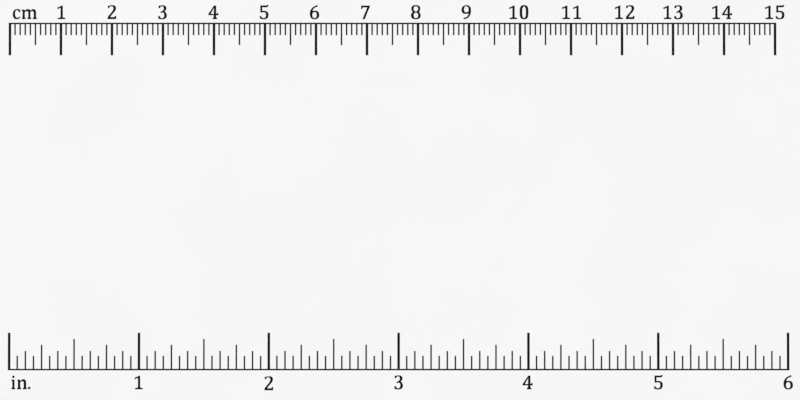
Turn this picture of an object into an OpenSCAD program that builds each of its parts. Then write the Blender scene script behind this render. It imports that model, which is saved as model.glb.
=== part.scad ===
// A flat measuring plate that carries a centimetre scale along one long edge and an inch scale
// along the other, so that something small can be laid between them and read on either.
// X runs along the scales, Y points from the inch scale to the centimetre scale, and Z is up.
// The origin is under the middle of the plate, on the surface that its pads stand on.

/* [Plate] */
// Length of the plate, along the scales
plate_l = 160; // [158:0.5:200]
// Width of the plate, across the scales
plate_w = 80; // [60:0.5:120]
// Thickness of the plate
plate_t = 3; // [2:0.1:6]
// Radius of the plate's corners, seen from above
corner_r = 3; // [1.5:0.25:6]
// Radius that rounds the plate's upper and lower edges
edge_r = 0.5; // [0.2:0.05:0.8]

/* [Scales] */
// Distance from the plate's left edge to the zero mark of both scales
zero_inset = 3.8; // [2:0.1:5]
// Centimetres on the centimetre scale
cm_count = 15; // [3:1:15]
// Inches on the inch scale
inch_count = 6; // [2:1:6]
// Distance from the plate's rear edge to the middle of the centimetre scale's line
cm_line_inset = 5.4; // [4.6:0.1:9]
// Distance from the plate's front edge to the middle of the inch scale's line
inch_line_inset = 6.8; // [5:0.1:9]
// Width of the scale lines and of every fine mark
fine_line = 0.3; // [0.15:0.05:0.4]
// Width of the whole centimetre and whole inch marks
heavy_line = 0.5; // [0.3:0.05:0.6]

/* [Mark lengths, from the outer side of the scale line] */
// Whole centimetres
cm_mark = 6.4; // [5:0.1:9]
// Half centimetres
half_cm_mark = 4.4; // [3:0.1:5]
// Millimetres
mm_mark = 2.45; // [1.5:0.05:3]
// Whole inches
inch_mark = 7.35; // [6.5:0.05:10]
// Half inches
half_inch_mark = 6.15; // [5.1:0.05:6.4]
// Quarter inches
quarter_inch_mark = 5; // [4:0.1:5.1]
// Eighths of an inch
eighth_inch_mark = 3.8; // [3:0.1:4]
// Sixteenths of an inch
sixteenth_inch_mark = 2.85; // [1.5:0.05:3]

/* [Figures and labels] */
// Height of a figure, before its strokes are spread
figure_h = 2.6; // [1.8:0.1:2.8]
// How far the cutter spreads each stroke of a figure or letter, on both sides
stroke_spread = 0.06; // [0:0.01:0.08]
// Gap between the centimetre scale's line and the foot of its figures
cm_figure_gap = 0.75; // [0.4:0.05:1.2]
// Gap between the inch scale's line and the top of its figures
inch_figure_gap = 1.05; // [0.4:0.05:1.6]
// Distance from the zero mark to the start of the unit label
label_offset = 0.4; // [0:0.1:1.5]

/* [Engraving] */
// Depth of the engraved grooves
groove_depth = 0.3; // [0.15:0.05:0.6]
// How far the enamel in a groove stops below the plate's face
enamel_sink = 0.03; // [0:0.01:0.1]

/* [Pads] */
// Diameter of a pad
pad_d = 10; // [6:0.5:14]
// Thickness of a pad
pad_t = 1.5; // [1:0.1:3]
// Width of the chamfer round a pad's foot
pad_chamfer = 0.3; // [0.1:0.05:0.5]
// Depth of the recess that a pad sits in
recess_depth = 0.6; // [0.3:0.05:0.9]
// Gap all round a pad in its recess
recess_clearance = 0.2; // [0.1:0.05:0.5]
// Distance from the plate's ends and sides to the middle of a pad
pad_inset = 10; // [9:0.5:20]
// Thickness of the adhesive that holds a pad
adhesive_t = 0.1; // [0.05:0.05:0.2]
// How far the adhesive stops short of a pad's rim
adhesive_inset = 0.5; // [0.2:0.1:1.5]

/* [Hidden] */

// Distance from one whole mark to the next: the true centimetre and the true inch
cm_pitch = 10;
inch_pitch = 25.4;
mm_per_cm = 10;
corner_fn = 64;
pad_fn = 96;
dot_fn = 32;
over_cut = 1;
// A corner moves no further than 1 / sharpest times as far as its sides when a stroke is spread
sharpest = 0.5;

plate_z = pad_t + adhesive_t - recess_depth;
face_z = plate_z + plate_t;
groove_z = face_z - groove_depth;

zero_x = zero_inset - plate_l / 2;
cm_line_y = plate_w / 2 - cm_line_inset;
inch_line_y = inch_line_inset - plate_w / 2;
cm_reach = cm_count * cm_pitch;
inch_reach = inch_count * inch_pitch;
to_front = -1;
to_rear = 1;

// Every whole unit up to the last one
function whole_spots(count, pitch) = [for (i = [0 : count]) i * pitch];
// Every spot that an odd number of steps leads to, so not the ones that a coarser mark takes
function odd_spots(reach, step) = [for (i = [1 : 2 : reach / step]) i * step];

cm_spots = whole_spots(cm_count, cm_pitch);
half_cm_spots = odd_spots(cm_reach, cm_pitch / 2);
mm_spots = [
    for (i = [1 : cm_count * mm_per_cm - 1])
        if (i % (mm_per_cm / 2) != 0) i * cm_pitch / mm_per_cm
];
inch_spots = whole_spots(inch_count, inch_pitch);
half_inch_spots = odd_spots(inch_reach, inch_pitch / 2);
quarter_inch_spots = odd_spots(inch_reach, inch_pitch / 4);
eighth_inch_spots = odd_spots(inch_reach, inch_pitch / 8);
sixteenth_inch_spots = odd_spots(inch_reach, inch_pitch / 16);

// Characters are drawn on a grid whose unit is a 133rd of a figure's height, counted from the left
// edge of the character's own cell and up from its foot. The first outline of a character is its
// body and the others are cut out of it. A point with a third value isn't on the outline: it bends
// the line towards itself.
grid_figure_h = 133;
figure_cell = 112;
// How far a bend may stand off the straight sides that it is cut into
bend_sag = 0.1;
unit = figure_h / grid_figure_h;
grid_spread = stroke_spread / unit;

zero = [
    [[56, 136], [78, 136, 1], [97, 112, 1], [97, 67], [97, 22, 1], [78, -2, 1], [56, -2],
     [34, -2, 1], [15, 22, 1], [15, 67], [15, 112, 1], [34, 136, 1]],
    [[56, 129], [66, 122, 1], [77, 105, 1], [77, 67], [77, 28, 1], [66, 9, 1], [56, 5],
     [46, 9, 1], [35, 28, 1], [35, 67], [35, 105, 1], [46, 122, 1]]
];
one = [
    [[26, 0], [97, 0], [97, 8], [71, 9, 1], [71, 20], [71, 131], [62, 131], [50, 121, 1], [22, 113],
     [22, 102], [31, 102], [35, 112, 1], [45, 112], [54, 112], [54, 20], [54, 9, 1], [26, 8]]
];
two = [
    [[19, 0], [99, 0], [101, 28], [92, 28], [91, 15, 1], [79, 15], [41, 15], [48, 33, 1], [66, 53],
     [98, 84, 1], [98, 107], [98, 136, 1], [60, 136], [40, 131, 1], [22, 130], [22, 110], [30, 110],
     [34, 129, 1], [54, 129], [77, 129, 1], [77, 104], [77, 84, 1], [54, 59], [24, 26, 1], [19, 12]]
];
three = [
    [[21, 129], [40, 131, 1], [54, 135], [94, 135, 1], [94, 107], [94, 86, 1], [72, 78],
     [98, 58, 1], [99, 36], [99, -2, 1], [54, -2], [30, -2, 1], [18, 6], [19, 26], [30, 26],
     [32, 5, 1], [54, 5], [78, 5, 1], [78, 38], [78, 64, 1], [58, 66], [42, 61], [40, 68],
     [52, 75], [73, 82, 1], [73, 106], [73, 129, 1], [54, 129], [36, 129, 1], [31, 110], [21, 110]]
];
four = [
    [[53, 0], [93, 0], [93, 8], [83, 9, 1], [83, 20], [83, 39], [106, 39], [103, 59], [97, 59],
     [95, 47, 1], [83, 47], [83, 131], [65, 131], [10, 48], [10, 39], [64, 39], [64, 20],
     [64, 9, 1], [53, 8]],
    [[64, 47], [26, 47], [64, 111]]
];
five = [
    [[21, 132], [80, 132], [87, 132, 1], [89, 139], [97, 139], [95, 119, 1], [82, 119], [35, 119],
     [35, 76], [44, 79, 1], [56, 79], [97, 77, 1], [98, 42], [98, -3, 1], [54, -2], [30, -2, 1],
     [17, 6], [16, 27], [22, 27], [33, 5, 1], [54, 5], [78, 5, 1], [78, 42], [78, 69, 1],
     [56, 69], [42, 69, 1], [34, 66], [22, 67]]
];
six = [
    [[86, 136], [15, 119, 1], [12, 54], [12, -2, 1], [56, -2], [101, -2, 1], [101, 40],
     [101, 80, 1], [60, 80], [48, 80, 1], [37, 74], [34, 112, 1], [86, 125]],
    [[33, 54], [42, 71, 1], [58, 71], [81, 71, 1], [81, 40], [81, 5, 1], [58, 5], [32, 5, 1],
     [32, 40]]
];
seven = [
    [[100, 131], [18, 131], [17, 101], [24, 101], [27, 118, 1], [42, 118], [81, 118], [32, -1],
     [49, -1], [99, 121]]
];
eight = [
    [[56, 136], [98, 136, 1], [98, 104], [98, 82, 1], [82, 67], [102, 58, 1], [102, 34],
     [102, -2, 1], [56, -2], [10, -2, 1], [10, 34], [10, 58, 1], [32, 67], [14, 82, 1], [14, 104],
     [14, 136, 1]],
    [[56, 128], [82, 128, 1], [82, 100], [82, 80, 1], [57, 69], [31, 80, 1], [31, 100],
     [31, 128, 1]],
    [[56, 65], [85, 61, 1], [82, 34], [81, 5, 1], [56, 5], [33, 5, 1], [33, 34], [30, 61, 1]]
];
nine = [
    [[54, 136], [101, 136, 1], [101, 84], [101, 48, 1], [84, 26], [66, 0, 1], [33, 0], [32, 10],
     [53, 10, 1], [62, 18], [76, 30, 1], [81, 61], [66, 52, 1], [50, 52], [11, 52, 1], [11, 92],
     [12, 130, 1]],
    [[54, 129], [82, 129, 1], [82, 92], [82, 74], [62, 63, 1], [54, 63], [31, 63, 1], [31, 94],
     [31, 129, 1]]
];
figures = [zero, one, two, three, four, five, six, seven, eight, nine];

letter_c = [
    [[50, 96], [72, 96, 1], [81, 88], [79, 70], [71, 70], [62, 90, 1], [50, 90], [28, 90, 1],
     [28, 52], [28, 9, 1], [54, 9], [66, 9, 1], [73, 20], [80, 16], [70, -1, 1], [46, -1],
     [9, -1, 1], [9, 50], [12, 93, 1]]
];
letter_m = [
    [[11, 0], [43, 0], [43, 9], [35, 10, 1], [35, 20], [35, 66], [44, 80, 1], [58, 80], [75, 80, 1],
     [75, 62], [75, 20], [75, 10, 1], [68, 9], [68, 0], [100, 0], [100, 9], [91, 10, 1], [91, 20],
     [91, 66], [100, 80, 1], [112, 80], [130, 80, 1], [130, 60], [130, 20], [130, 10, 1],
     [122, 9], [122, 0], [156, 0], [156, 9], [148, 10, 1], [148, 20], [148, 62], [148, 96, 1],
     [123, 96], [108, 94, 1], [96, 78], [86, 96, 1], [66, 96], [52, 94, 1], [40, 81], [30, 91],
     [10, 91], [10, 83], [18, 83, 1], [18, 72], [18, 20], [18, 10, 1], [11, 9]]
];
letter_i = [
    [[7, 0], [38, 0], [38, 9], [31, 10, 1], [31, 20], [31, 92], [6, 91], [6, 84], [15, 83, 1],
     [15, 72], [15, 20], [15, 10, 1], [7, 9]]
];
letter_n = [
    [[8, 0], [41, 0], [41, 9], [33, 10, 1], [33, 20], [33, 66], [42, 80, 1], [55, 80], [73, 80, 1],
     [73, 62], [73, 20], [73, 10, 1], [65, 9], [65, 0], [98, 0], [98, 9], [92, 10, 1], [92, 20],
     [92, 62], [92, 96, 1], [66, 96], [52, 95, 1], [38, 76], [32, 92], [8, 92], [8, 86],
     [15, 83, 1], [15, 72], [15, 20], [15, 10, 1], [8, 9]]
];
letter_m_x = 90;
letter_n_x = 56;
i_dot = [22, 122];
full_stop = [181, 10];
dot_r = 10;

// How far a figure stands from the middle of its mark, to the right and up, in millimetres: the
// lettering was set by eye
cm_figure_drift = [
    [0, 0], [-0.1, 0], [-0.14, 0], [-0.16, 0], [-0.19, 0], [-0.3, 0], [-0.35, 0], [-0.43, 0],
    [-0.53, 0], [-0.3, 0], [0.05, 0], [0.43, 0], [-0.06, 0], [-0.52, 0], [-0.11, 0]
];
inch_figure_drift = [[-0.1, 0], [-0.06, -0.2], [-0.04, 0], [-0.2, 0], [0, 0], [0, 0]];

// A bend's points lie on a parabola from one neighbour to the other, or to the middle of the line
// to a neighbour that is a bend as well
function is_bend(point) = len(point) == 3;
function flat(point) = [point.x, point.y];
function bend_end(bend, neighbour) =
    is_bend(neighbour) ? (flat(bend) + flat(neighbour)) / 2 : flat(neighbour);
function on_bend(from, pull, to, t) =
    (1 - t) * (1 - t) * from + 2 * t * (1 - t) * pull + t * t * to;
// A bend stands off its chord by half as much as its pull does, and off each of its sides by that
// over the square of their number
function bend_sides(from, pull, to) = ceil(sqrt(norm((from + to) / 2 - pull) / 2 / bend_sag));
function before(points, i) = points[(i + len(points) - 1) % len(points)];
function after(points, i) = points[(i + 1) % len(points)];
function bend_points(bend, from, to) =
    let (start = bend_end(bend, from))
    let (pull = flat(bend))
    let (end = bend_end(bend, to))
    let (sides = bend_sides(start, pull, end))
    [
        for (side = [(is_bend(from) ? 0 : 1) : 1 : sides - 1])
            on_bend(start, pull, end, side / sides)
    ];
function outline_points(outline) = [
    for (i = [0 : len(outline) - 1])
        if (is_bend(outline[i]))
            each bend_points(outline[i], before(outline, i), after(outline, i))
        else outline[i]
];

function total(values, i = 0) = i == len(values) ? 0 : values[i] + total(values, i + 1);
function is_anticlockwise(points) =
    total([for (i = [0 : len(points) - 1]) cross(points[i], after(points, i))]) > 0;
function right_of(from, to) =
    let (way = (to - from) / norm(to - from)) [way.y, -way.x];
function moved_corner(from, corner, to, distance) =
    let (out_from = right_of(from, corner))
    let (out_to = right_of(corner, to))
    corner + distance * (out_from + out_to) / max(1 + out_from * out_to, sharpest);
// An outline moved outwards by a distance, or inwards where the distance is negative
function moved_out(outline, distance) =
    let (points = [for (point = outline) flat(point)])
    let (to_right = is_anticlockwise(points) ? distance : -distance)
    [
        for (i = [0 : len(points) - 1])
            let (corner = moved_corner(before(points, i), points[i], after(points, i), to_right))
            is_bend(outline[i]) ? [each corner, outline[i].z] : corner
    ];

module character(outlines) {
    difference() {
        polygon(outline_points(moved_out(outlines[0], grid_spread)));
        for (i = [1 : 1 : len(outlines) - 1])
            polygon(outline_points(moved_out(outlines[i], -grid_spread)));
    }
}
module dot() { circle(dot_r + grid_spread, $fn = dot_fn); }

// A number whose middle is over x = 0 and whose foot is at y = 0
module number(n) {
    digits = n < 10 ? [n] : [floor(n / 10), n % 10];
    scale(unit)
        for (i = [0 : len(digits) - 1])
            translate([(i - len(digits) / 2) * figure_cell, 0]) character(figures[digits[i]]);
}

module scale_line(reach, line_y) {
    translate([zero_x + reach / 2, line_y])
        square([reach + heavy_line, fine_line], center = true);
}

// Marks of one length stand on the inner side of their scale line
module mark_row(spots, line_y, facing, length, width) {
    for (spot = spots)
        translate([zero_x + spot, line_y + facing * length / 2])
            square([width, length - fine_line], center = true);
}

module number_row(count, pitch, foot_y, drift) {
    for (n = [1 : count])
        translate([zero_x + n * pitch, foot_y] + drift[n - 1]) number(n);
}

module centimetre_line_shape() { scale_line(cm_reach, cm_line_y); }
module centimetre_marks_shape() { mark_row(cm_spots, cm_line_y, to_front, cm_mark, heavy_line); }
module half_centimetre_marks_shape() {
    mark_row(half_cm_spots, cm_line_y, to_front, half_cm_mark, fine_line);
}
module millimetre_marks_shape() { mark_row(mm_spots, cm_line_y, to_front, mm_mark, fine_line); }
cm_foot_y = cm_line_y + fine_line / 2 + cm_figure_gap;
module centimetre_figures_shape() {
    number_row(cm_count, cm_pitch, cm_foot_y, cm_figure_drift);
}
module centimetre_label_shape() {
    translate([zero_x + label_offset, cm_foot_y])
        scale(unit) {
            character(letter_c);
            translate([letter_m_x, 0]) character(letter_m);
        }
}

module inch_line_shape() { scale_line(inch_reach, inch_line_y); }
module inch_marks_shape() { mark_row(inch_spots, inch_line_y, to_rear, inch_mark, heavy_line); }
module half_inch_marks_shape() {
    mark_row(half_inch_spots, inch_line_y, to_rear, half_inch_mark, fine_line);
}
module quarter_inch_marks_shape() {
    mark_row(quarter_inch_spots, inch_line_y, to_rear, quarter_inch_mark, fine_line);
}
module eighth_inch_marks_shape() {
    mark_row(eighth_inch_spots, inch_line_y, to_rear, eighth_inch_mark, fine_line);
}
module sixteenth_inch_marks_shape() {
    mark_row(sixteenth_inch_spots, inch_line_y, to_rear, sixteenth_inch_mark, fine_line);
}
inch_foot_y = inch_line_y - fine_line / 2 - inch_figure_gap - figure_h;
module inch_figures_shape() {
    number_row(inch_count, inch_pitch, inch_foot_y, inch_figure_drift);
}
module inch_label_shape() {
    translate([zero_x + label_offset, inch_foot_y])
        scale(unit) {
            character(letter_i);
            translate(i_dot) dot();
            translate([letter_n_x, 0]) character(letter_n);
            translate(full_stop) dot();
        }
}

module centimetre_grooves_shape() {
    centimetre_line_shape();
    centimetre_marks_shape();
    half_centimetre_marks_shape();
    millimetre_marks_shape();
    centimetre_figures_shape();
    centimetre_label_shape();
}
module inch_grooves_shape() {
    inch_line_shape();
    inch_marks_shape();
    half_inch_marks_shape();
    quarter_inch_marks_shape();
    eighth_inch_marks_shape();
    sixteenth_inch_marks_shape();
    inch_figures_shape();
    inch_label_shape();
}

// The plate's section, with its edges rounded
module edge_profile(span) {
    straight = [span - 2 * edge_r, plate_t - 2 * edge_r];
    square([span, straight.y], center = true);
    square([straight.x, plate_t], center = true);
    for (x = [-1, 1], y = [-1, 1])
        translate([x * straight.x, y * straight.y] / 2) circle(edge_r, $fn = corner_fn);
}

module corner_profile() {
    intersection() {
        edge_profile(2 * corner_r);
        translate([0, -plate_t / 2]) square([corner_r, plate_t]);
    }
}

module plate_blank() {
    corner = [plate_l / 2 - corner_r, plate_w / 2 - corner_r];
    rotate([90, 0, 0]) linear_extrude(2 * corner.y, center = true) edge_profile(plate_l);
    rotate([90, 0, 90]) linear_extrude(2 * corner.x, center = true) edge_profile(plate_w);
    for (side = [-1, 1], end = [-1, 1])
        translate([side * corner.x, end * corner.y, 0])
            rotate(atan2(end, side) - 45)
                rotate_extrude(angle = 90, $fn = corner_fn) corner_profile();
}

module at_pad(side, end) {
    translate([side * (plate_l / 2 - pad_inset), end * (plate_w / 2 - pad_inset), 0]) children();
}

module base_plate() {
    color("#fafaf8")
        difference() {
            translate([0, 0, plate_z + plate_t / 2]) plate_blank();
            translate([0, 0, groove_z])
                linear_extrude(groove_depth + over_cut) centimetre_grooves_shape();
            translate([0, 0, groove_z])
                linear_extrude(groove_depth + over_cut) inch_grooves_shape();
            for (side = [-1, 1], end = [-1, 1])
                at_pad(side, end)
                    translate([0, 0, plate_z - over_cut])
                        cylinder(recess_depth + over_cut, r = pad_d / 2 + recess_clearance, $fn = pad_fn);
        }
}

// Enamel that fills the grooves of the shape that it is given
module enamel() {
    color("#161616")
        translate([0, 0, groove_z]) linear_extrude(groove_depth - enamel_sink) children();
}

module centimetre_scale_line() { enamel() centimetre_line_shape(); }
module centimetre_marks() { enamel() centimetre_marks_shape(); }
module half_centimetre_marks() { enamel() half_centimetre_marks_shape(); }
module millimetre_marks() { enamel() millimetre_marks_shape(); }
module centimetre_figures() { enamel() centimetre_figures_shape(); }
module centimetre_label() { enamel() centimetre_label_shape(); }

module inch_scale_line() { enamel() inch_line_shape(); }
module inch_marks() { enamel() inch_marks_shape(); }
module half_inch_marks() { enamel() half_inch_marks_shape(); }
module quarter_inch_marks() { enamel() quarter_inch_marks_shape(); }
module eighth_inch_marks() { enamel() eighth_inch_marks_shape(); }
module sixteenth_inch_marks() { enamel() sixteenth_inch_marks_shape(); }
module inch_figures() { enamel() inch_figures_shape(); }
module inch_label() { enamel() inch_label_shape(); }

module pad(side, end) {
    color("#55585a")
        at_pad(side, end) {
            cylinder(pad_chamfer, r1 = pad_d / 2 - pad_chamfer, r2 = pad_d / 2, $fn = pad_fn);
            translate([0, 0, pad_chamfer]) cylinder(pad_t - pad_chamfer, r = pad_d / 2, $fn = pad_fn);
        }
}
module pad_front_left() { pad(-1, -1); }
module pad_front_right() { pad(1, -1); }
module pad_rear_left() { pad(-1, 1); }
module pad_rear_right() { pad(1, 1); }

module adhesive(side, end) {
    color("#d8cfae")
        at_pad(side, end)
            translate([0, 0, pad_t])
                cylinder(adhesive_t, r = pad_d / 2 - adhesive_inset, $fn = pad_fn);
}
module adhesive_front_left() { adhesive(-1, -1); }
module adhesive_front_right() { adhesive(1, -1); }
module adhesive_rear_left() { adhesive(-1, 1); }
module adhesive_rear_right() { adhesive(1, 1); }

base_plate();
centimetre_scale_line();
centimetre_marks();
half_centimetre_marks();
millimetre_marks();
centimetre_figures();
centimetre_label();
inch_scale_line();
inch_marks();
half_inch_marks();
quarter_inch_marks();
eighth_inch_marks();
sixteenth_inch_marks();
inch_figures();
inch_label();
pad_front_left();
pad_front_right();
pad_rear_left();
pad_rear_right();
adhesive_front_left();
adhesive_front_right();
adhesive_rear_left();
adhesive_rear_right();
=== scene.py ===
"""A white measuring plate with a centimetre scale and an inch scale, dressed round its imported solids.

X runs along the scales, Y points from the inch scale to the centimetre scale and Z is up. Lengths are
in metres, and the origin is under the middle of the plate, on the bench top that its pads stand on.
"""

import math
from collections import defaultdict

import bmesh
import bpy
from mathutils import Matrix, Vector


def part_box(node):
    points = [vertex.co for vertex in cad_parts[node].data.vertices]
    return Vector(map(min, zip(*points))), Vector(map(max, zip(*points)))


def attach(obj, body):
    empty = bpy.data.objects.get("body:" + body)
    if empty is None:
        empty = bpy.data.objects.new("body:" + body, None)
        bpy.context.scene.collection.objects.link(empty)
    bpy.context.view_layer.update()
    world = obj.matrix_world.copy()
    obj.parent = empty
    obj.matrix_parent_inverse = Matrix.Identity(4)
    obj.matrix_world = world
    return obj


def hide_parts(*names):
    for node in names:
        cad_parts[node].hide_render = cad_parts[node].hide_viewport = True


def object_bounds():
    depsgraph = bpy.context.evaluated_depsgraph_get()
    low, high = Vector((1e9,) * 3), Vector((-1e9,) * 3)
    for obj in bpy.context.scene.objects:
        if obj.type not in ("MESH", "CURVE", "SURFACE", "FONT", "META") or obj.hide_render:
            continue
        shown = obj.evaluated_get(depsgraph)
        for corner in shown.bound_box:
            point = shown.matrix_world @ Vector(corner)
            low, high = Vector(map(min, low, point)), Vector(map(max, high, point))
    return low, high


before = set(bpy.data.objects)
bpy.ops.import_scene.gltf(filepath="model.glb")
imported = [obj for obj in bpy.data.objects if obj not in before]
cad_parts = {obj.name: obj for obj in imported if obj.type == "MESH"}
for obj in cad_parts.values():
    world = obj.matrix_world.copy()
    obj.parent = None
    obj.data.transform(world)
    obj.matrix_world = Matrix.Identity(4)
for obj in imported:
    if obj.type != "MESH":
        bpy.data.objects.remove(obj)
cad_low, cad_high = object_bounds()

MM = 0.001
MERGE_DISTANCE = 0.0005 * MM
SHARP_ANGLE = math.radians(30)
# A face is square to an axis where more than this share of its direction lies along the axis
SQUARE_ON = 0.99999

# Measured on the photograph, in its own pixels: its size, the pitch of each scale, and the middle of
# the centimetre scale's line
PHOTO_SIZE_PX = (800, 400)
CM_PITCH_PX = 51.0
INCH_PITCH_PX = 129.84
CM_LINE_MIDDLE_PX = (392.5, 23.45)
# A long lens, because the photograph looks straight down on all of the plate
LENS_MM = 100
SENSOR_MM = 36

# The true centimetre and the true inch
CM_PITCH = 10 * MM
INCH_PITCH = 25.4 * MM
# More spots than any row has
NONE_LEFT_OUT = 1000
# Each row of marks: its CAD node, its spots from the first mark to the last, their pitch, and which
# spots are left out for longer marks: every fifth one, or none
MARK_ROWS = [
    ("centimetre_marks", 16, CM_PITCH, NONE_LEFT_OUT),
    ("half_centimetre_marks", 15, CM_PITCH, NONE_LEFT_OUT),
    ("millimetre_marks", 149, CM_PITCH / 10, 5),
    ("inch_marks", 7, INCH_PITCH, NONE_LEFT_OUT),
    ("half_inch_marks", 6, INCH_PITCH, NONE_LEFT_OUT),
    ("quarter_inch_marks", 12, INCH_PITCH / 2, NONE_LEFT_OUT),
    ("eighth_inch_marks", 24, INCH_PITCH / 4, NONE_LEFT_OUT),
    ("sixteenth_inch_marks", 48, INCH_PITCH / 8, NONE_LEFT_OUT),
]
SCALE_LINES = ["centimetre_scale_line", "inch_scale_line"]
LETTERING = ["centimetre_figures", "centimetre_label", "inch_figures", "inch_label"]
PADS = ["pad_front_left", "pad_front_right", "pad_rear_left", "pad_rear_right"]
ADHESIVE_DISCS = [
    "adhesive_front_left", "adhesive_front_right", "adhesive_rear_left", "adhesive_rear_right",
]

# The plate's corners, seen from above, and the band along its rim that hands rub
CORNER_RADIUS = 3 * MM
RUBBED_WIDTH = 0.45 * MM

# Marks of wiping on the face: their turn from the scales, and how many a metre holds along X, Y and Z
WIPE_TURN = math.radians(20)
WIPES_PER_METRE = (60, 900, 60)

# Enamel climbs the walls of its groove as it dries: how far it rises, how wide that rise is along
# the outline of a figure, how steep it is across a mark, and how many strips a mark's top is cut into
RIM_RISE = 0.018 * MM
RIM_WIDTH = 0.03 * MM
CLIMB_POWER = 3.0
TOP_STRIPS = 4
# What the geometry nodes that lay a row of equal bars are given, and the kind of each
ROW_INPUTS = {
    "Spots": "NodeSocketInt",
    "Pitch": "NodeSocketFloat",
    "First Spot": "NodeSocketVector",
    "Left Out Every": "NodeSocketInt",
    "Bar Width": "NodeSocketFloat",
    "Bar Length": "NodeSocketFloat",
    "Bar Turn": "NodeSocketFloat",
    "Enamel Depth": "NodeSocketFloat",
    "Rim Rise": "NodeSocketFloat",
    "Left Share": "NodeSocketFloat",
}

# A pad: the steps that it is turned in, the rounded rim of its foot, and its grip rings
PAD_STEPS = 96
FOOT_RADIUS = 0.3 * MM
FOOT_ARC_STEPS = 6
GRIP_RINGS = 3
GRIP_RING_PITCH = 1.15 * MM
GRIP_RING_WIDTH = 0.45 * MM
GRIP_RING_DEPTH = 0.15 * MM

# Noise runs from 0 to 1 but mostly keeps between these
NOISE_LOW = 0.35
NOISE_HIGH = 0.65

# Four soft panels round the plate: their size, and the name, place and power of each
SOFTBOX_SIZE = 1.2
SOFTBOXES = [
    ("left_softbox", (-0.7, 0, 0.7), 3.0),
    ("right_softbox", (0.7, 0, 0.7), 2.3),
    ("front_softbox", (0, -0.7, 0.7), 2.0),
    ("rear_softbox", (0, 0.7, 0.7), 2.5),
]
# From the middle of the bench to each of its sides
BENCH_REACH = 4.0


# Node trees


def add_node(tree, kind, settings=None, **inputs):
    """A node whose named inputs are set, or linked where the value is another node's output."""
    node = tree.nodes.new(kind)
    for setting, value in (settings or {}).items():
        setattr(node, setting, value)
    for name, value in inputs.items():
        connect(tree, node.inputs[name.replace("_", " ")], value)
    return node


def connect(tree, socket, value):
    """The socket is linked to another node's output, or set to a plain value."""
    if isinstance(value, bpy.types.NodeSocket):
        tree.links.new(value, socket)
    else:
        socket.default_value = value


def calculate(tree, operation, *values, kind="ShaderNodeMath"):
    """One step of arithmetic, on vectors where the kind of node is ShaderNodeVectorMath."""
    node = tree.nodes.new(kind)
    node.operation = operation
    for socket, value in zip(node.inputs, values):
        connect(tree, socket, value)
    return next(socket for socket in node.outputs if socket.enabled)


# Materials


def new_material(name, specular):
    """A material, its tree, its shader and the object coordinates that its patterns lie on."""
    material = bpy.data.materials.new(name)
    material.use_nodes = True
    tree = material.node_tree
    shader = tree.nodes["Principled BSDF"]
    shader.inputs["Specular IOR Level"].default_value = specular
    place = tree.nodes.new("ShaderNodeTexCoord").outputs["Object"]
    return material, tree, shader, place


def noise(tree, place, grains_per_metre, detail):
    """A cloudy pattern, with about so many grains to the metre and so many finer ones in each."""
    node = add_node(
        tree, "ShaderNodeTexNoise", Vector=place, Scale=grains_per_metre, Detail=detail
    )
    return node.outputs["Fac"]


def spread(tree, factor, low, high, factor_low=NOISE_LOW, factor_high=NOISE_HIGH):
    """The factor, stretched from its own range to the range that is asked for."""
    node = add_node(
        tree, "ShaderNodeMapRange", Value=factor,
        From_Min=factor_low, From_Max=factor_high, To_Min=low, To_Max=high,
    )
    return node.outputs["Result"]


def blend_colours(tree, factor, first, second):
    """The first colour where the factor is 0, and the second where it is 1."""
    node = add_node(tree, "ShaderNodeMix", {"data_type": "RGBA"})
    sockets = {socket.identifier: socket for socket in (*node.inputs, *node.outputs)}
    connect(tree, sockets["Factor_Float"], factor)
    connect(tree, sockets["A_Color"], first)
    connect(tree, sockets["B_Color"], second)
    return sockets["Result_Color"]


def add_bump(tree, shader, height, distance, strength=1.0):
    """A relief in the surface, too fine for the mesh."""
    bump = add_node(
        tree, "ShaderNodeBump", Height=height, Distance=distance, Strength=strength
    )
    connect(tree, shader.inputs["Normal"], bump.outputs["Normal"])


def grey(value, warmth=0.0):
    """A grey, or one with a little more red and less blue where it is warm."""
    return (value * (1 + warmth), value, value * (1 - warmth), 1.0)


def beyond_rim(tree, place):
    """How far a point lies outside the plate's outline, and below zero inside it."""
    low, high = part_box("base_plate")
    half = (high - low) / 2
    corner = Vector((half.x - CORNER_RADIUS, half.y - CORNER_RADIUS, 0))

    def on_vectors(operation, *values):
        return calculate(tree, operation, *values, kind="ShaderNodeVectorMath")

    on_plan = on_vectors("MULTIPLY", place, (1, 1, 0))
    past_corner = on_vectors("SUBTRACT", on_vectors("ABSOLUTE", on_plan), corner)
    from_corner = on_vectors("LENGTH", on_vectors("MAXIMUM", past_corner, (0, 0, 0)))
    return calculate(tree, "SUBTRACT", from_corner, CORNER_RADIUS)


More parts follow.
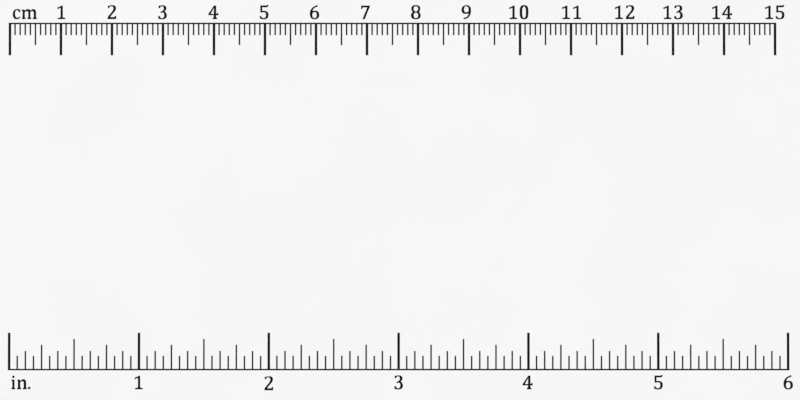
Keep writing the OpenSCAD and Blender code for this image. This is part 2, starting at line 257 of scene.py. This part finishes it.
def white_plate_plastic():
    """Opaque white plastic with a satin face: faint cloudiness, fine grain, wipe marks, rubbed rim."""
    material, tree, shader, place = new_material("white_plate_plastic", specular=0.4)
    cloudy_white = grey(0.925, warmth=0.003)
    clear_white = grey(0.94)
    rubbed_white = grey(0.86, warmth=0.01)
    cloud = spread(tree, noise(tree, place, grains_per_metre=45, detail=3), low=0, high=1)
    body = blend_colours(tree, cloud, cloudy_white, clear_white)
    rim = spread(
        tree, beyond_rim(tree, place), low=0, high=1, factor_low=-RUBBED_WIDTH, factor_high=0
    )
    patches = spread(tree, noise(tree, place, grains_per_metre=260, detail=5), low=0.2, high=0.9)
    rubbed = calculate(tree, "MULTIPLY", rim, patches)
    colour = blend_colours(tree, rubbed, body, rubbed_white)
    connect(tree, shader.inputs["Base Color"], colour)

    wiped = add_node(
        tree, "ShaderNodeMapping", Vector=place, Rotation=(0, 0, WIPE_TURN), Scale=WIPES_PER_METRE
    )
    wipes = noise(tree, wiped.outputs["Vector"], grains_per_metre=1, detail=3)
    sheen = spread(tree, cloud, low=0.40, high=0.46, factor_low=0, factor_high=1)
    roughness = calculate(tree, "ADD", sheen, spread(tree, wipes, low=-0.05, high=0.05))
    connect(tree, shader.inputs["Roughness"], roughness)
    grain = noise(tree, place, grains_per_metre=7500, detail=2)
    add_bump(tree, shader, grain, distance=0.005 * MM)
    return material


def black_enamel():
    """Black filling enamel: nearly flat, with a faint unevenness where it was wiped off level."""
    material, tree, shader, place = new_material("black_enamel", specular=0.1)
    deep_black = grey(0.002)
    wiped_black = grey(0.004)
    streaks = spread(tree, noise(tree, place, grains_per_metre=900, detail=3), low=0, high=1)
    connect(tree, shader.inputs["Base Color"], blend_colours(tree, streaks, deep_black, wiped_black))
    gloss = noise(tree, place, grains_per_metre=3500, detail=2)
    connect(tree, shader.inputs["Roughness"], spread(tree, gloss, low=0.32, high=0.48))
    unevenness = noise(tree, place, grains_per_metre=6000, detail=2)
    add_bump(tree, shader, unevenness, distance=0.003 * MM, strength=0.5)
    return material


def grey_rubber():
    """Dark grey moulded rubber: dull and finely pitted, with painted shade darkening its pits, paler
    where dust has settled.
    """
    material, tree, shader, place = new_material("grey_rubber", specular=0.3)
    painted_pit_shade = grey(0.082)
    skin_grey = grey(0.108)
    dust_grey = grey(0.2, warmth=0.02)
    pits = noise(tree, place, grains_per_metre=4200, detail=3)
    # Painted shade: the grey is darker where the bump sinks into pits
    body = blend_colours(tree, spread(tree, pits, low=0, high=1), painted_pit_shade, skin_grey)
    settled = noise(tree, place, grains_per_metre=600, detail=4)
    dust = spread(tree, settled, low=0, high=0.5, factor_low=0.5, factor_high=0.75)
    connect(tree, shader.inputs["Base Color"], blend_colours(tree, dust, body, dust_grey))
    connect(tree, shader.inputs["Roughness"], spread(tree, pits, low=0.78, high=0.92))
    add_bump(tree, shader, pits, distance=0.03 * MM, strength=0.8)
    return material


def pad_adhesive():
    """Pale acrylic adhesive with tiny trapped bubbles."""
    material, tree, shader, place = new_material("pad_adhesive", specular=0.4)
    amber = (0.60, 0.54, 0.38, 1)
    pale_amber = (0.70, 0.65, 0.48, 1)
    bubbles = noise(tree, place, grains_per_metre=3000, detail=2)
    tint = blend_colours(tree, spread(tree, bubbles, low=0, high=1), amber, pale_amber)
    connect(tree, shader.inputs["Base Color"], tint)
    connect(tree, shader.inputs["Roughness"], spread(tree, bubbles, low=0.4, high=0.6))
    add_bump(tree, shader, bubbles, distance=0.01 * MM, strength=0.5)
    return material


def bench_top():
    """A pale, even bench top, dull and very faintly clouded."""
    material, tree, shader, place = new_material("bench_top", specular=0.3)
    cloudy_grey = grey(0.70)
    clear_grey = grey(0.73)
    cloud = spread(tree, noise(tree, place, grains_per_metre=9, detail=3), low=0, high=1)
    connect(tree, shader.inputs["Base Color"], blend_colours(tree, cloud, cloudy_grey, clear_grey))
    shader.inputs["Roughness"].default_value = 0.7
    return material


# Pieces


def new_piece(name, mesh):
    """An object in the scene, at the origin."""
    piece = bpy.data.objects.new(name, mesh)
    bpy.context.scene.collection.objects.link(piece)
    return piece


def keep_result(piece):
    """Runs the piece's modifiers and keeps what they give as a plain mesh."""
    evaluated = piece.evaluated_get(bpy.context.evaluated_depsgraph_get())
    mesh = bpy.data.meshes.new_from_object(evaluated)
    mesh.name = piece.name
    piece.modifiers.clear()
    piece.data = mesh


def stands_for(piece, node, material):
    """The piece takes the CAD node's place on the plate."""
    piece.data.materials.clear()
    piece.data.materials.append(material)
    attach(piece, "root")
    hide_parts(node)


def merged_copy(node):
    """A bmesh of the CAD node with its loose triangles joined."""
    joined = bmesh.new()
    joined.from_mesh(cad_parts[node].data)
    bmesh.ops.remove_doubles(joined, verts=joined.verts, dist=MERGE_DISTANCE)
    return joined


def shade_round(mesh):
    """The mesh looks round but for its sharp edges."""
    mesh.shade_smooth()
    mesh.set_sharp_from_angle(angle=SHARP_ANGLE)


def rounded_mesh(built, name):
    """The finished bmesh as a mesh with its final shading."""
    mesh = bpy.data.meshes.new(name)
    built.to_mesh(mesh)
    built.free()
    if mesh.has_custom_normals:
        mesh.attributes.remove(mesh.attributes["custom_normal"])
    shade_round(mesh)
    return mesh


def shade_flat_faces_flat(mesh):
    """Each flat face is shaded in one direction all over, and a curve beside it runs into that."""
    flat_beside = defaultdict(list)
    for face in mesh.polygons:
        if max(abs(part) for part in face.normal) > SQUARE_ON:
            for vertex in face.vertices:
                flat_beside[vertex].append(face.normal.copy())
    directions = []
    for loop, corner in zip(mesh.loops, mesh.corner_normals):
        along = [
            flat for flat in flat_beside[loop.vertex_index] if corner.vector.angle(flat) < SHARP_ANGLE
        ]
        directions.append(along[0] if along else corner.vector.copy())
    mesh.normals_split_custom_set(directions)


def plate_body(material):
    """The engraved plate, with even light on its faces and round edges."""
    mesh = rounded_mesh(merged_copy("base_plate"), "plate_body")
    shade_flat_faces_flat(mesh)
    stands_for(new_piece("plate_body", mesh), "base_plate", material)


def wall_climb(tree, given):
    """How far the enamel climbs across a bar: all the way up its right wall, and up its left wall by
    a share of that."""
    position = add_node(tree, "GeometryNodeInputPosition").outputs["Position"]
    across = add_node(tree, "ShaderNodeSeparateXYZ", Vector=position).outputs["X"]
    half_width = calculate(tree, "MULTIPLY", given["Bar Width"], 0.5)
    to_right = calculate(tree, "DIVIDE", across, half_width)
    left_share = calculate(tree, "MULTIPLY", given["Left Share"], -1.0)
    to_left = calculate(tree, "MULTIPLY", to_right, left_share)
    to_wall = calculate(tree, "MAXIMUM", to_right, to_left)
    steepened = calculate(tree, "POWER", to_wall, CLIMB_POWER)
    return calculate(tree, "MULTIPLY", steepened, given["Rim Rise"])


def enamel_bar(tree, given):
    """One closed bar of enamel along Y, as deep as its groove is filled."""
    floor = add_node(
        tree, "GeometryNodeMeshGrid", Size_X=given["Bar Width"], Size_Y=given["Bar Length"],
        Vertices_X=TOP_STRIPS + 1, Vertices_Y=2,
    ).outputs["Mesh"]
    raised = add_node(
        tree, "GeometryNodeExtrudeMesh", Mesh=floor, Offset=(0, 0, 1),
        Offset_Scale=given["Enamel Depth"], Individual=False,
    )
    rise = add_node(tree, "ShaderNodeCombineXYZ", Z=wall_climb(tree, given)).outputs["Vector"]
    dished = add_node(
        tree, "GeometryNodeSetPosition", Geometry=raised.outputs["Mesh"],
        Selection=raised.outputs["Top"], Offset=rise,
    )
    underside = add_node(tree, "GeometryNodeFlipFaces", Mesh=floor)
    closed = add_node(tree, "GeometryNodeJoinGeometry")
    for part in (underside.outputs["Mesh"], dished.outputs["Geometry"]):
        connect(tree, closed.inputs["Geometry"], part)
    merged = add_node(
        tree, "GeometryNodeMergeByDistance", Geometry=closed.outputs["Geometry"],
        Distance=MERGE_DISTANCE,
    )
    return merged.outputs["Geometry"]


def bars_on_spots(tree, given, bar):
    """The bar on every spot of a row along X, but for the spots that are left out."""
    step = add_node(tree, "ShaderNodeCombineXYZ", X=given["Pitch"]).outputs["Vector"]
    spots = add_node(
        tree, "GeometryNodeMeshLine", Count=given["Spots"], Start_Location=given["First Spot"],
        Offset=step,
    )
    spot_index = add_node(tree, "GeometryNodeInputIndex").outputs["Index"]
    spot_number = calculate(tree, "ADD", spot_index, 1.0)
    turn = add_node(tree, "ShaderNodeCombineXYZ", Z=given["Bar Turn"]).outputs["Vector"]
    row = add_node(
        tree, "GeometryNodeInstanceOnPoints", Points=spots.outputs["Mesh"], Instance=bar,
        Selection=calculate(tree, "MODULO", spot_number, given["Left Out Every"]), Rotation=turn,
    )
    return row.outputs["Instances"]


def enamel_row_tree(material):
    """The geometry nodes that lay a row of equal bars of enamel."""
    tree = bpy.data.node_groups.new("enamel_row", "GeometryNodeTree")
    for name, kind in ROW_INPUTS.items():
        tree.interface.new_socket(name, in_out="INPUT", socket_type=kind)
    tree.interface.new_socket("Row", in_out="OUTPUT", socket_type="NodeSocketGeometry")
    given = tree.nodes.new("NodeGroupInput").outputs
    row = bars_on_spots(tree, given, enamel_bar(tree, given))
    real = add_node(tree, "GeometryNodeRealizeInstances", Geometry=row).outputs["Geometry"]
    filled = add_node(tree, "GeometryNodeSetMaterial", Geometry=real, Material=material)
    add_node(tree, "NodeGroupOutput", Row=filled.outputs["Geometry"])
    return tree


def enamel_bars(node, tree, material, **sizes):
    """The enamel in a node's straight grooves, laid where the frame has them."""
    piece = new_piece(node + "_enamel", bpy.data.meshes.new(node))
    modifier = piece.modifiers.new("row", "NODES")
    modifier.node_group = tree
    sockets = {item.name: item.identifier for item in tree.interface.items_tree}
    for name, value in {**sizes, "rim_rise": RIM_RISE}.items():
        modifier[sockets[name.replace("_", " ").title()]] = value
    keep_result(piece)
    shade_round(piece.data)
    stands_for(piece, node, material)


def enamel_marks(node, tree, material, spots, pitch, left_out_every):
    """A row of marks, filled between the walls of their grooves."""
    low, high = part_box(node)
    size = high - low
    middle = (low + high) / 2
    width = size.x - (spots - 1) * pitch
    enamel_bars(
        node, tree, material, spots=spots, pitch=pitch, left_out_every=left_out_every,
        first_spot=Vector((low.x + width / 2, middle.y, low.z)),
        bar_width=width, bar_length=size.y, bar_turn=0.0, enamel_depth=size.z, left_share=1.0,
    )


def enamel_scale_line(node, tree, material):
    """The scale line's enamel climbs its outer wall, and runs level into the marks on the other side."""
    low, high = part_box(node)
    size = high - low
    middle = (low + high) / 2
    enamel_bars(
        node, tree, material, spots=1, pitch=0.0, left_out_every=NONE_LEFT_OUT,
        first_spot=Vector((middle.x, middle.y, low.z)), bar_width=size.y, bar_length=size.x,
        bar_turn=math.copysign(math.pi / 2, middle.y), enamel_depth=size.z, left_share=0.0,
    )


def enamel_lettering(node, material):
    """The enamel in a node's figures, a little lower inside than along the outline."""
    built = merged_copy(node)
    top = [face for face in built.faces if face.normal.z > SQUARE_ON]
    for vertex in {vertex for face in top for vertex in face.verts}:
        vertex.co.z += RIM_RISE
    bmesh.ops.inset_region(
        built, faces=top, thickness=RIM_WIDTH, depth=-RIM_RISE,
        use_boundary=True, use_even_offset=True,
    )
    name = node + "_enamel"
    stands_for(new_piece(name, rounded_mesh(built, name)), node, material)


def pad_profile(radius, height):
    """Half of a pad's section, from the middle of its foot out, up its side and back in."""
    profile = [(0, 0)]
    for ring in range(1, GRIP_RINGS + 1):
        middle = ring * GRIP_RING_PITCH
        profile += [
            (middle - GRIP_RING_WIDTH / 2, 0), (middle - GRIP_RING_WIDTH / 4, GRIP_RING_DEPTH),
            (middle + GRIP_RING_WIDTH / 4, GRIP_RING_DEPTH), (middle + GRIP_RING_WIDTH / 2, 0),
        ]
    for step in range(FOOT_ARC_STEPS + 1):
        turn = math.pi / 2 * step / FOOT_ARC_STEPS
        inwards = FOOT_RADIUS * (1 - math.sin(turn))
        upwards = FOOT_RADIUS * (1 - math.cos(turn))
        profile.append((radius - inwards, upwards))
    return profile + [(radius, height), (0, height)]


def turned_mesh(name, profile, foot):
    """A closed mesh, turned round the upright line through its foot from a profile that starts and
    ends on that line."""
    (_, bottom), *bends, (_, top) = profile
    turns = [math.tau * step / PAD_STEPS for step in range(PAD_STEPS)]
    middles = [(0, 0, bottom), (0, 0, top)]
    foot_middle, top_middle = range(len(middles))
    circles = [
        (out * math.cos(turn), out * math.sin(turn), up) for out, up in bends for turn in turns
    ]

    def on_circle(circle, step):
        return len(middles) + circle * PAD_STEPS + step % PAD_STEPS

    last_circle = len(bends) - 1
    faces = []
    for step in range(PAD_STEPS):
        faces.append((foot_middle, on_circle(0, step + 1), on_circle(0, step)))
        for circle in range(last_circle):
            faces.append((
                on_circle(circle, step), on_circle(circle, step + 1),
                on_circle(circle + 1, step + 1), on_circle(circle + 1, step),
            ))
        faces.append((top_middle, on_circle(last_circle, step), on_circle(last_circle, step + 1)))
    mesh = bpy.data.meshes.new(name)
    mesh.from_pydata([foot + Vector(point) for point in middles + circles], [], faces)
    return mesh


def moulded_pad(node, material):
    """A turned rubber pad: a rounded foot with grip rings, and a straight side."""
    low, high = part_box(node)
    centre = (low + high) / 2
    name = node + "_moulding"
    profile = pad_profile((high.x - low.x) / 2, high.z - low.z)
    mesh = turned_mesh(name, profile, Vector((centre.x, centre.y, low.z)))
    shade_round(mesh)
    stands_for(new_piece(name, mesh), node, material)


def adhesive_disc(node, material):
    """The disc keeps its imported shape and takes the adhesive's finish."""
    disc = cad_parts[node]
    disc.data.materials.clear()
    disc.data.materials.append(material)


# Studio


def look_from_above():
    """The photograph's view: from above with a long lens, leaning by the little that makes the inch
    scale look larger than the centimetre scale."""
    camera = bpy.data.cameras.new("camera")
    camera.lens = LENS_MM
    camera.sensor_width = SENSOR_MM
    focal_px = PHOTO_SIZE_PX[0] * LENS_MM / SENSOR_MM
    cm_depth = focal_px * CM_PITCH / CM_PITCH_PX
    inch_depth = focal_px * INCH_PITCH / INCH_PITCH_PX
    cm_line_middle = sum(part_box("centimetre_scale_line"), Vector()) / 2
    inch_line_middle = sum(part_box("inch_scale_line"), Vector()) / 2
    lean = math.asin((cm_depth - inch_depth) / (cm_line_middle.y - inch_line_middle.y))

    forward = Vector((0, math.sin(lean), -math.cos(lean)))
    rightward = Vector((1, 0, 0))
    upward = Vector((0, math.cos(lean), math.sin(lean)))
    right_px = CM_LINE_MIDDLE_PX[0] - PHOTO_SIZE_PX[0] / 2
    up_px = PHOTO_SIZE_PX[1] / 2 - CM_LINE_MIDDLE_PX[1]
    to_line = forward + (rightward * right_px + upward * up_px) / focal_px
    line_on_face = Vector((cm_line_middle.x, cm_line_middle.y, cad_high.z))

    stand = bpy.data.objects.new("camera", camera)
    stand.location = line_on_face - cm_depth * to_line
    stand.rotation_euler = (lean, 0, 0)
    bpy.context.scene.collection.objects.link(stand)
    bpy.context.scene.camera = stand


def softbox(name, place, power):
    """A square area lamp that points at the middle of the plate."""
    light = bpy.data.lights.new(name, "AREA")
    light.size = SOFTBOX_SIZE
    light.energy = power
    lamp = bpy.data.objects.new(name, light)
    lamp.location = place
    lamp.rotation_mode = "QUATERNION"
    lamp.rotation_quaternion = (-Vector(place)).to_track_quat("-Z", "Y")
    lamp.visible_camera = False
    bpy.context.scene.collection.objects.link(lamp)


def room_light(overhead, horizon):
    """Soft light from all round, dimmer overhead than at the walls."""
    world = bpy.data.worlds.new("room")
    world.use_nodes = True
    bpy.context.scene.world = world
    tree = world.node_tree
    direction = tree.nodes.new("ShaderNodeTexCoord").outputs["Generated"]
    height = add_node(tree, "ShaderNodeSeparateXYZ", Vector=direction).outputs["Z"]
    up = spread(tree, height, low=0, high=1, factor_low=0, factor_high=1)
    shade = blend_colours(tree, up, grey(horizon), grey(overhead))
    connect(tree, tree.nodes["Background"].inputs["Color"], shade)


def lay_bench(material):
    """The flat bench top that the pads stand on."""
    mesh = bpy.data.meshes.new("bench")
    corners = [
        (-BENCH_REACH, -BENCH_REACH, 0), (BENCH_REACH, -BENCH_REACH, 0),
        (BENCH_REACH, BENCH_REACH, 0), (-BENCH_REACH, BENCH_REACH, 0),
    ]
    mesh.from_pydata(corners, [], [(0, 1, 2, 3)])
    mesh.materials.append(material)
    new_piece("bench", mesh)


# The plate, its enamel and its pads, on the bench

look_from_above()

plate_body(white_plate_plastic())
enamel = black_enamel()
row_tree = enamel_row_tree(enamel)
for node, spots, pitch, left_out_every in MARK_ROWS:
    enamel_marks(node, row_tree, enamel, spots, pitch, left_out_every)
for node in SCALE_LINES:
    enamel_scale_line(node, row_tree, enamel)
for node in LETTERING:
    enamel_lettering(node, enamel)
rubber = grey_rubber()
for node in PADS:
    moulded_pad(node, rubber)
adhesive = pad_adhesive()
for node in ADHESIVE_DISCS:
    adhesive_disc(node, adhesive)

lay_bench(bench_top())
room_light(overhead=0.35, horizon=0.85)
for name, place, power in SOFTBOXES:
    softbox(name, place, power)
bpy.context.scene.view_settings.view_transform = "Standard"
